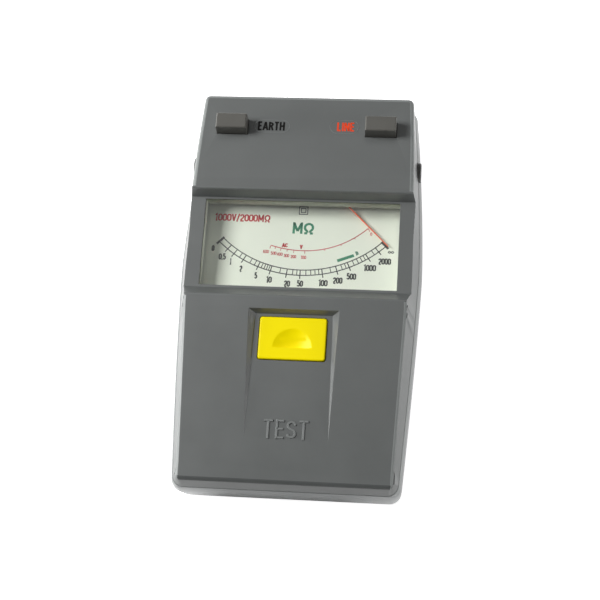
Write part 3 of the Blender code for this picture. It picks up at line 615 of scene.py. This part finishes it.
boolean(lower, block("bay", (-BAY_X, BAY_X), (BAY_Y0, BAY_Y1), (-1, BAY_TOP)))
lip = COVER_X + 1.4 + GAP
slot = [(-COVER_X - GAP, 0.0), (COVER_X + GAP, 0.0), (COVER_X + GAP, 2.15), (lip, 2.15),
        (lip, 3.4), (-lip, 3.4), (-lip, 2.15), (-COVER_X - GAP, 2.15)]
boolean(lower, prism("cover_slot", slot, -90, COVER_Y1 + GAP, "Y"))
for x, y in SCREW_XY:
    boolean(lower, rod("bore", (x, y, 0), BORE_R, 30, segments=20))
    boolean(lower, rod("counterbore", (x, y, 0), COUNTERBORE_R, 5.4))
for x, y in FOOT_XY:
    boolean(lower, rod("pocket", (x, y, 0), POCKET_R, 2.6, segments=40))
for side in (-1, 1):
    boolean(lower, eyelet_hole(side))
# the lower shell's upward-facing side shoulders get the painted highlight
lower.data.materials.append(CASE_PAINTED_HIGHLIGHT)
for face in lower.data.polygons:
    if face.center.z > SHOULDER_Z * MM and abs(face.normal.x) > 0.4 and face.normal.z > 0.2:
        face.material_index = PAINTED_HIGHLIGHT_SLOT
soft_edges(lower, 0.06, 2, 38)
shade(lower, 30)
weighted(lower)
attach(lower, "case")
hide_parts("lower_case")


# ---------------------------------------------------------------- test button
SIDE_POINTS, CORNER_POINTS = 26, 5


def button_ring(e, z):
    """Rounded rectangle, e inside the button's edge, z above the thumb recess's floor."""
    x1, y0, y1 = BUTTON_X - e, BUTTON_Y0 + e, BUTTON_Y1 - e
    r = max(1.1 - e, 0.02)
    points = []
    corners = ((x1 - r, y0 + r, -90), (x1 - r, y1 - r, 0), (-x1 + r, y1 - r, 90),
               (-x1 + r, y0 + r, 180))
    for i, (cx, cy, start) in enumerate(corners):
        for a in np.linspace(start, start + 90, CORNER_POINTS):
            points.append((cx + r * math.cos(math.radians(a)), cy + r * math.sin(math.radians(a))))
        nx, ny, nstart = corners[(i + 1) % 4]
        a = math.radians(nstart)
        end = (nx + r * math.cos(a), ny + r * math.sin(a))
        last = points[-1]
        for t in np.linspace(0, 1, SIDE_POINTS + 2)[1:-1]:
            points.append((last[0] + (end[0] - last[0]) * t, last[1] + (end[1] - last[1]) * t))
    out = []
    for x, y in points:
        h = recess_z(y) + z
        if y > SCOOP_Y:
            d = math.hypot(x, y - SCOOP_Y)
            if d < SCOOP_R:
                bore = SCOOP_R ** 2 / (2 * SCOOP_DEPTH) + SCOOP_DEPTH / 2
                h -= math.sqrt(bore * bore - d * d) - (bore - SCOOP_DEPTH)
        out.append((x, y, h))
    return out


EDGE_R, SCOOP_RIM = 0.6, SCOOP_Y - BUTTON_Y0
stack = [(0.0, -3.0), (0.0, BUTTON_PROUD - EDGE_R)]
stack += [(EDGE_R * (1 - math.cos(a)), BUTTON_PROUD - EDGE_R * (1 - math.sin(a)))
          for a in np.linspace(0.26, math.pi / 2, 6)]
# rings across the top, with two close together where the scoop starts
inner = [e for e in np.arange(1.3, 8.3, 0.35) if abs(e - SCOOP_RIM) > 0.12]
inner += [SCOOP_RIM - 0.03, SCOOP_RIM + 0.16]
stack += [(e, BUTTON_PROUD) for e in sorted(inner)]
button = loft("thumb_button", [button_ring(e, z) for e, z in stack], YELLOW)
FLANGE = (-15.3, 15.3), (-34.8, -13.9), (30.0, 31.25)
boolean(button, block("flange", *FLANGE), "UNION")
shade(button, 40)
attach(button, "button")
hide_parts("test_button")


# ---------------------------------------------------------------- printed scale
# Condensed lettering: each sign is its width and its pen strokes in a box one unit tall. A stroke
# that starts with "~" is drawn as a smooth curve through its points.
GLYPHS = {
    "0": (.46, [["~", (.23, .97), (.37, .92), (.43, .78), (.43, .5), (.43, .22), (.37, .08),
                 (.23, .03), (.09, .08), (.03, .22), (.03, .5), (.03, .78), (.09, .92),
                 (.23, .97)]]),
    "1": (.30, [[(.02, .80), (.20, .97), (.20, 0)]]),
    "2": (.46, [["~", (.04, .74), (.07, .89), (.23, .97), (.39, .89), (.42, .72), (.36, .54),
                 (.16, .26), (.06, .08)], [(.02, .07), (.45, .07)]]),
    "3": (.46, [["~", (.05, .80), (.10, .92), (.23, .97), (.37, .91), (.42, .76), (.37, .60),
                 (.20, .53)], ["~", (.20, .53), (.38, .46), (.43, .28), (.37, .09), (.23, .03),
                               (.09, .08), (.03, .22)]]),
    "4": (.48, [[(.35, 0), (.35, .97)], [(.33, .94), (.04, .30)], [(.03, .28), (.47, .28)]]),
    "5": (.46, [[(.41, .93), (.08, .93), (.06, .52)], ["~", (.06, .54), (.22, .62), (.38, .55),
                                                     (.43, .32), (.37, .10), (.23, .03),
                                                     (.09, .07), (.03, .20)]]),
    "6": (.46, [["~", (.41, .82), (.35, .93), (.23, .97), (.09, .90), (.04, .68), (.03, .30),
                 (.09, .08), (.23, .03), (.37, .09), (.42, .28), (.36, .48), (.23, .54),
                 (.10, .48), (.04, .34)]]),
    ".": (.16, [[(.08, 0), (.08, .15)]]),
    "/": (.32, [[(.02, -.04), (.30, 1.02)]]),
    "V": (.52, [[(.04, .98), (.26, .04)], [(.26, .04), (.48, .98)]]),
    "M": (.70, [[(.07, 0), (.07, .98)], [(.07, .94), (.35, .22)], [(.35, .22), (.63, .94)],
                [(.63, .98), (.63, 0)]]),
    "\u03a9": (.70, [[(.03, .05), (.25, .05)], ["~", (.25, .02), (.22, .18), (.09, .38), (.06, .62),
                                             (.15, .86), (.35, .96), (.55, .86), (.64, .62),
                                             (.61, .38), (.48, .18), (.45, .02)],
                      [(.45, .05), (.67, .05)]]),
    "A": (.56, [[(.03, 0), (.28, .98)], [(.28, .98), (.53, 0)], [(.12, .30), (.44, .30)]]),
    "B": (.50, [[(.07, 0), (.07, 1)], ["~", (.07, .94), (.30, .93), (.42, .76), (.30, .55),
                                      (.07, .53)],
                ["~", (.07, .53), (.32, .51), (.45, .29), (.32, .07), (.07, .06)]]),
    "C": (.48, [["~", (.44, .76), (.38, .91), (.24, .97), (.09, .90), (.04, .72), (.04, .28),
                 (.09, .10), (.24, .03), (.38, .09), (.44, .24)]]),
    "E": (.46, [[(.07, 0), (.07, 1)], [(.07, .94), (.43, .94)], [(.07, .52), (.39, .52)],
                [(.07, .06), (.43, .06)]]),
    "H": (.54, [[(.07, 0), (.07, 1)], [(.47, 0), (.47, 1)], [(.07, .52), (.47, .52)]]),
    "I": (.14, [[(.07, 0), (.07, 1)]]),
    "L": (.44, [[(.07, 1), (.07, 0)], [(.07, .06), (.42, .06)]]),
    "N": (.56, [[(.07, 0), (.07, 1)], [(.09, .95), (.47, .05)], [(.49, 0), (.49, 1)]]),
    "R": (.52, [[(.07, 0), (.07, 1)], ["~", (.07, .94), (.30, .93), (.43, .74), (.30, .54),
                                      (.07, .52)], [(.26, .52), (.47, 0)]]),
    "S": (.48, [["~", (.43, .77), (.37, .91), (.24, .97), (.10, .91), (.05, .76), (.11, .60),
                 (.36, .42), (.43, .25), (.37, .09), (.24, .03), (.10, .08), (.04, .22)]]),
    "T": (.50, [[(.02, .94), (.48, .94)], [(.25, .97), (.25, 0)]]),
    "\u221e": (1.3, [["~", (.65, .50), (.45, .82), (.22, .86), (.06, .50), (.22, .14), (.45, .18),
                       (.65, .50), (.85, .82), (1.08, .86), (1.24, .50), (1.08, .14), (.85, .18),
                       (.65, .50)]]),
}
SPACING, BEARING = 0.13, 0.06       # between signs, and left clear at the row's ends


CURVE_STEPS = 4


def curved(points):
    """Catmull-Rom curve through the points."""
    closed = points[0] == points[-1]
    pts = [Vector(p) for p in points]
    first = pts[-2] if closed else 2 * pts[0] - pts[1]
    last = pts[1] if closed else 2 * pts[-1] - pts[-2]
    run = [first] + pts + [last]
    out = []
    for a, b, c, d in zip(run, run[1:], run[2:], run[3:]):
        for k in range(CURVE_STEPS):
            t = k / CURVE_STEPS
            out.append(0.5 * (2 * b + (c - a) * t + (2 * a - 5 * b + 4 * c - d) * t * t
                              + (3 * b - a - 3 * c + d) * t * t * t))
    return [tuple(p) for p in out] + [tuple(pts[-1])]


def ribbon(bm, points, width, place, low=-0.03, high=0.04, pillow=0.0):
    """Flat bar of constant width along the points; place() puts (x, y, h) on a surface.

    It reaches from low under the surface to high above it; pillow narrows its top.
    """
    pts = [Vector(p) for p in points]
    closed = (pts[0] - pts[-1]).length < 1e-6
    if closed:
        pts = pts[:-1]
    rows = []
    for i, p in enumerate(pts):
        ahead = pts[(i + 1) % len(pts)] if closed or i + 1 < len(pts) else p
        behind = pts[i - 1] if closed or i else p
        d1 = (p - behind).normalized() if (p - behind).length > 1e-9 else None
        d2 = (ahead - p).normalized() if (ahead - p).length > 1e-9 else None
        along = ((d1 or d2) + (d2 or d1)).normalized()
        grow = 1.0 / max(0.6, along.dot(d2 or d1))
        out = Vector((-along.y, along.x)) * width / 2 * grow
        shelf = out * (1 - pillow)
        rows.append([bm.verts.new(place(*q, h)) for q, h in
                     ((p + out, low), (p - out, low), (p - shelf, high), (p + shelf, high))])
    pairs = list(zip(rows, rows[1:])) + ([(rows[-1], rows[0])] if closed else [])
    for a, b in pairs:
        for i in range(4):
            j = (i + 1) % 4
            bm.faces.new((a[i], a[j], b[j], b[i]))
    if not closed:
        bm.faces.new(rows[0][::-1])
        bm.faces.new(rows[-1])


def dial(x, y, h):
    """The dial as a place for ribbon(); head() and recess_floor() are others."""
    return (x, y, DIAL_Z + h)


def lettering(bm, text, centre, height, width, pen, place=dial, turn=0.0, low=-0.03, high=0.04,
              pillow=0.0):
    """Signs in one row, squeezed to the width; pen is the stroke width, turn is in degrees."""
    total = sum(GLYPHS[c][0] for c in text) + SPACING * (len(text) - 1)
    grow_x = (width - pen) / (total - BEARING)
    cut = math.radians(turn)
    at = 0.0
    for sign in text:
        wide, strokes = GLYPHS[sign]
        for points in strokes:
            run = curved(points[1:]) if points[0] == "~" else points
            spots = []
            for x, y in run:
                u = (at + x - total / 2) * grow_x
                v = (y - 0.5) * (height - (pen if points[0] == "~" else 0.0))
                spots.append((centre[0] + u * math.cos(cut) - v * math.sin(cut),
                              centre[1] + u * math.sin(cut) + v * math.cos(cut)))
            ribbon(bm, spots, pen, place, low, high, pillow)
        at += wide + SPACING


def piece(name, bm, mat, body):
    """Finish a piece that is added to the CAD's, riding a body."""
    obj = finish_mesh(name, bm, mat)
    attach(obj, body)


def polar(deg, radius):
    """Point on the dial, turned deg to the right from straight below the pivot."""
    a = math.radians(deg)
    return radius * math.sin(a), PIVOT_Y - radius * math.cos(a)


PRINT_DY = -7.2              # from the print's own stations along the dial to the case's
ARC_IN, ARC_OUT, SPAN = 47.4, 49.75, 44.2
black = bmesh.new()
for radius in (ARC_IN, ARC_OUT):
    ribbon(black, [polar(d, radius) for d in np.linspace(-SPAN, SPAN, 90)], 0.42, dial)
for end in (-SPAN, SPAN):
    ribbon(black, [polar(end, ARC_IN - 0.4), polar(end, ARC_OUT + 1.5)], 0.95, dial)
# reading in megohms: angle of its long mark
MARKS = {0.5: -38.4, 1: -34.4, 2: -28.8, 5: -20.8, 10: -14.4, 20: -6.5, 50: 0.0, 100: 10.7,
         200: 17.7, 500: 23.8, 1000: 33.9, 2000: 39.8}


def mark_angle(value):
    return float(np.interp(math.log10(value), [math.log10(k) for k in MARKS],
                           list(MARKS.values())))


for deg in MARKS.values():
    ribbon(black, [polar(deg, ARC_IN), polar(deg, ARC_OUT + 1.6)], 0.42, dial)
SHORT_MARKS = (1.5, 3, 4, 6, 7, 8, 9, 15, 30, 40, 60, 70, 80, 90, 150, 300, 400, 600, 700, 800,
               900, 1500)
for value in SHORT_MARKS:
    deg = mark_angle(value)
    ribbon(black, [polar(deg, ARC_IN), polar(deg, ARC_OUT)], 0.33, dial)
# sign, centre and width
NUMERALS = (("0", -37.05, 25.18, 1.25), ("0.5", -32.84, 21.49, 3.1), ("1", -29.22, 19.36, 0.9),
            ("2", -24.66, 16.38, 1.25), ("5", -18.17, 13.49, 1.25), ("10", -12.65, 11.91, 2.45),
            ("20", -5.09, 10.42, 2.6), ("50", 0.27, 10.61, 2.6), ("100", 9.7, 11.18, 3.9),
            ("200", 15.66, 12.5, 4.0), ("500", 21.18, 14.47, 4.0), ("1000", 28.52, 18.5, 5.2),
            ("2000", 34.48, 21.6, 5.3))
for sign, x, y, width in NUMERALS:
    lettering(black, sign, (x, y + PRINT_DY), 2.85, width, 0.6)
lettering(black, "\u221e", (36.9, 25.78 + PRINT_DY), 1.3, 2.7, 0.34)
# plain double square, the general sign for double insulation
SQUARE_X, SQUARE_Y = -0.4, 36.3
for size in (1.75, 0.95):
    corners = [(SQUARE_X + u * size, SQUARE_Y + v * size)
               for u, v in ((-1, -1), (1, -1), (1, 1), (-1, 1), (-1, -1))]
    ribbon(black, corners, 0.3, dial)
piece("scale_print_black", black, INK_BLACK, "case")

red = bmesh.new()
lettering(red, "1000V/2000M\u03a9", (-25.8, 39.4 + PRINT_DY), 3.4, 23.6, 0.62)
RED_ARC = np.array([(-12.69, 27.19), (-8.64, 26.2), (-3.41, 25.43), (1.47, 25.24), (8.85, 26.21),
                    (14.91, 28.13), (20.27, 30.93), (27.05, 36.23)])
RED_FIT = np.polyfit(RED_ARC[:, 0], RED_ARC[:, 1] + PRINT_DY, 4)


def red_arc(x):
    return x, float(np.polyval(RED_FIT, x))


ribbon(red, [red_arc(x) for x in np.linspace(-12.9, 27.1, 60)], 0.36, dial)
# station and length of each red mark; the last one, at zero, slants
RED_MARKS = ((-12.9, 1.5), (-10.9, 1.0), (-8.6, 1.2), (-6.0, 1.0), (-3.2, 1.2), (1.3, 1.3),
             (9.4, 0.8), (16.0, 0.7), (21.5, 0.7), (27.0, 0.0))
for x, size in RED_MARKS:
    here, there = Vector(red_arc(x)), Vector(red_arc(x + 0.2))
    along = (there - here).normalized()
    down = Vector((along.y, -along.x)) * size if size else Vector((0.7, -1.4))
    ribbon(red, [tuple(here), tuple(here + down)], 0.27, dial)
for sign, x, y, width in (("600", -14.8, 24.4, 2.5), ("500", -11.6, 23.75, 2.4),
                          ("400", -9.0, 23.4, 2.4), ("300", -6.2, 22.85, 2.3),
                          ("200", -3.3, 22.5, 2.3), ("100", 0.9, 22.3, 2.3),
                          ("0", 28.35, 33.7, 0.8)):
    lettering(red, sign, (x, y + PRINT_DY), 1.5, width, 0.25)
lettering(red, "AC", (-7.14, 27.5 + PRINT_DY), 1.9, 2.6, 0.5)
lettering(red, "V", (-0.3, 26.95 + PRINT_DY), 1.9, 1.3, 0.5)
piece("scale_print_red", red, INK_RED, "case")

green = bmesh.new()
lettering(green, "M\u03a9", (0.0, 35.5 + PRINT_DY), 5.2, 9.3, 1.0)
ribbon(green, [(14.99, 21.23 + PRINT_DY), (21.69, 23.87 + PRINT_DY)], 1.25, dial)
lettering(green, "B", (22.95, 24.9 + PRINT_DY), 1.8, 1.3, 0.42, turn=20)
piece("scale_print_green", green, INK_GREEN, "case")


# ---------------------------------------------------------------- head labels and recess lettering
def head(x, y, h):
    return (x, y, head_z(y) + h)


def recess_floor(x, y, h):
    return (x, y, recess_z(y) + h)


def racetrack(cx, cy, half_w, half_h):
    """Closed path with straight sides and round ends."""
    path = [(cx + half_w - half_h + half_h * math.sin(a), cy - half_h * math.cos(a))
            for a in np.linspace(0, math.pi, 16)]
    path += [(cx - half_w + half_h - half_h * math.sin(a), cy + half_h * math.cos(a))
             for a in np.linspace(0, math.pi, 16)]
    return path + path[:1]


earth = bmesh.new()
lettering(earth, "EARTH", (-14.8, 67.3), 4.0, 11.6, 0.78, head)
piece("label_earth", earth, PAINT_BLACK, "case")
live = bmesh.new()
lettering(live, "LINE", (16.3, 67.7), 4.0, 7.6, 0.75, head)
piece("label_line", live, PAINT_ORANGE, "case")
rings = bmesh.new()
ribbon(rings, racetrack(-14.5, 67.3, 7.3, 2.9), 0.34, head, -0.1, 0.06, 0.5)
ribbon(rings, racetrack(15.6, 67.7, 5.9, 3.1), 0.34, head, -0.1, 0.06, 0.5)
piece("label_surrounds", rings, CASE_TOP, "case")
raised = bmesh.new()
lettering(raised, "TEST", (-0.2, -61.0), 7.6, 18.5, 1.25, recess_floor, 0.0, -0.4, 0.45, 0.5)
piece("recess_lettering", raised, CASE_TOP, "case")

# ---------------------------------------------------------------- needle
# distance from the pivot, tail positive, and half width
arm = [(12.0, 0.5), (2.6, 0.55), (0.0, 0.6), (-8.0, 0.5), (-20.0, 0.36), (-36.0, 0.27),
       (-POINTER_LEN + 0.6, 0.2), (-POINTER_LEN, 0.06)]
rings = [[(-w, y, POINTER_Z + 0.05), (w, y, POINTER_Z + 0.05), (w, y, POINTER_Z + 0.4),
          (0.3 * w, y, POINTER_Z + 0.62), (-0.3 * w, y, POINTER_Z + 0.62), (-w, y, POINTER_Z + 0.4)]
         for y, w in arm]
needle = loft("needle_arm", rings, ORANGE)
boolean(needle, rod("hub", (0, 0, POINTER_Z - 0.2), 2.3, 1.1), "UNION")
boolean(needle, rod("hub_bore", (0, 0, 20), 0.95, 10, segments=24))
shade(needle, 35)
needle.data.transform(Matrix.Translation((0, PIVOT_Y * MM, 0))
                      @ Matrix.Rotation(math.radians(REST_DEG), 4, "Z"))
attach(needle, "needle")
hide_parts("pointer")

# ---------------------------------------------------------------- button springs
for side in ("left", "right"):      # the return springs between the case and the button, each copied from its CAD coil
    node = f"button_spring_{side}"
    coil = bpy.data.objects.new(f"return_spring_{side}", NODES[node].data.copy())
    bpy.context.scene.collection.objects.link(coil)
    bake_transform(coil)
    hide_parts(node)

# ---------------------------------------------------------------- finer edges on the CAD pieces
for name in ("terminal_housing_earth", "terminal_housing_line"):
    weld = NODES[name].modifiers.new("weld", "WELD")
    weld.merge_threshold = 1e-6
    soft_edges(NODES[name], 0.32, 3, 40)


# ---------------------------------------------------------------- stage, light, camera
FLOOR_GLOW = 0.9             # keeps the sheet under the tester free of grey shadows
PAINTED_SHADOW_DEPTH, DIFFUSE_DIM = 0.9, 0.35       # depth of the painted shadow in mirrored light, and the share of the glow soft light misses
# edges of the painted shadow in front of the near end, seen only in reflections, in metres: x on
# the left, x on the right, y at the near end
SHADOW_EDGE_LEFT, SHADOW_EDGE_RIGHT, SHADOW_EDGE_NEAR = (-0.045, -0.025), (0.02, 0.045), (-0.16, -0.09)


def stage_material():
    """White sheet that glows to the camera, less to soft light, with a painted shadow in front of
    the near end that only reflections see.
    """
    mat, nodes, links, bsdf = tree("stage_white")
    coord = nodes.new("ShaderNodeTexCoord").outputs["Object"]
    tone = spread(nodes, links, noise(nodes, links, coord, 8.0, 3.0), 0.3, 0.7, 0.9, 0.94)
    base = nodes.new("ShaderNodeCombineColor")
    for i in range(3):
        links.new(tone, base.inputs[i])
    links.new(base.outputs[0], bsdf.inputs["Base Color"])
    bsdf.inputs["Roughness"].default_value = 0.9
    bsdf.inputs["Specular IOR Level"].default_value = 0.1
    bsdf.inputs["Emission Color"].default_value = (1.0, 1.0, 1.0, 1.0)
    ray = nodes.new("ShaderNodeLightPath").outputs
    axes = nodes.new("ShaderNodeSeparateXYZ")
    links.new(coord, axes.inputs[0])
    # painted shadow on the sheet in front of the near end, seen only by mirrored rays
    painted_shadow = math_node(nodes, links, "MULTIPLY",
                         spread(nodes, links, axes.outputs[0], *SHADOW_EDGE_LEFT, 0.0, 1.0),
                         spread(nodes, links, axes.outputs[0], *SHADOW_EDGE_RIGHT, 1.0, 0.0))
    for factor in (spread(nodes, links, axes.outputs[1], *SHADOW_EDGE_NEAR, 0.0, 1.0),
                   ray["Is Glossy Ray"], PAINTED_SHADOW_DEPTH):
        painted_shadow = math_node(nodes, links, "MULTIPLY", painted_shadow, factor)
    dim = math_node(nodes, links, "MAXIMUM", painted_shadow,
                    math_node(nodes, links, "MULTIPLY", ray["Is Diffuse Ray"], DIFFUSE_DIM))
    links.new(spread(nodes, links, dim, 0.0, 1.0, FLOOR_GLOW, 0.0),
              bsdf.inputs["Emission Strength"])
    return mat


def area(name, place, aim, size, power):
    """Rectangular lamp at a place, in metres, turned to its aim."""
    light = bpy.data.lights.new(name, "AREA")
    light.shape = "RECTANGLE"
    light.size, light.size_y = size
    light.energy = power
    obj = bpy.data.objects.new(name, light)
    bpy.context.scene.collection.objects.link(obj)
    obj.location = Vector(place)
    obj.rotation_euler = (Vector(aim) - Vector(place)).to_track_quat("-Z", "Y").to_euler()


floor = loft("floor", [[(-3000, -3000, z), (3000, -3000, z), (3000, 3000, z), (-3000, 3000, z)]
                       for z in (-20.0, -0.02)], stage_material())

scene = bpy.context.scene
world = bpy.data.worlds.new("studio")
scene.world = world
world.use_nodes = True
sky = world.node_tree.nodes["Background"]
sky.inputs["Color"].default_value = (1, 1, 1, 1)
sky.inputs["Strength"].default_value = 0.04
# lamp, place, aim, size in metres, power in watts
area("key", (-0.57, 0.08, 0.63), (0, 0, 0.02), (0.36, 0.36), 7.0)
area("top", (0.0, 0.4, 1.0), (0, 0, 0.02), (0.8, 0.8), 1.2)
area("rim", (-1.0, 0.05, 0.22), (0, 0, 0.03), (0.5, 0.2), 4.6)
area("fill", (1.0, -0.1, 0.17), (0, 0, 0.03), (0.35, 0.15), 4.0)
scene.view_settings.view_transform = "Standard"
scene.view_settings.look = "None"

CAMERA_TURN = (15.43, 68.32, -12.37)        # round the part, up from the floor, roll; degrees
CAMERA_AIM, CAMERA_DISTANCE, CAMERA_LENS = (-0.21, -0.16, 14.9), 0.57983, 83.76
az, el, roll = (math.radians(a) for a in CAMERA_TURN)
back = Vector((math.sin(az) * math.cos(el), -math.cos(az) * math.cos(el), math.sin(el)))
right = (-back).cross(Vector((0, 0, 1))).normalized()
above = right.cross(-back)
side = right * math.cos(roll) + above * math.sin(roll)
top = -right * math.sin(roll) + above * math.cos(roll)
camera = bpy.data.objects.new("camera", bpy.data.cameras.new("camera"))
scene.collection.objects.link(camera)
spot = Vector(CAMERA_AIM) * MM + back * CAMERA_DISTANCE
camera.matrix_world = Matrix(((side.x, top.x, back.x, spot.x), (side.y, top.y, back.y, spot.y),
                              (side.z, top.z, back.z, spot.z), (0, 0, 0, 1)))
camera.data.sensor_width = 36.0
camera.data.lens = CAMERA_LENS
camera.data.clip_start = 0.01
camera.data.clip_end = 20.0
scene.camera = camera
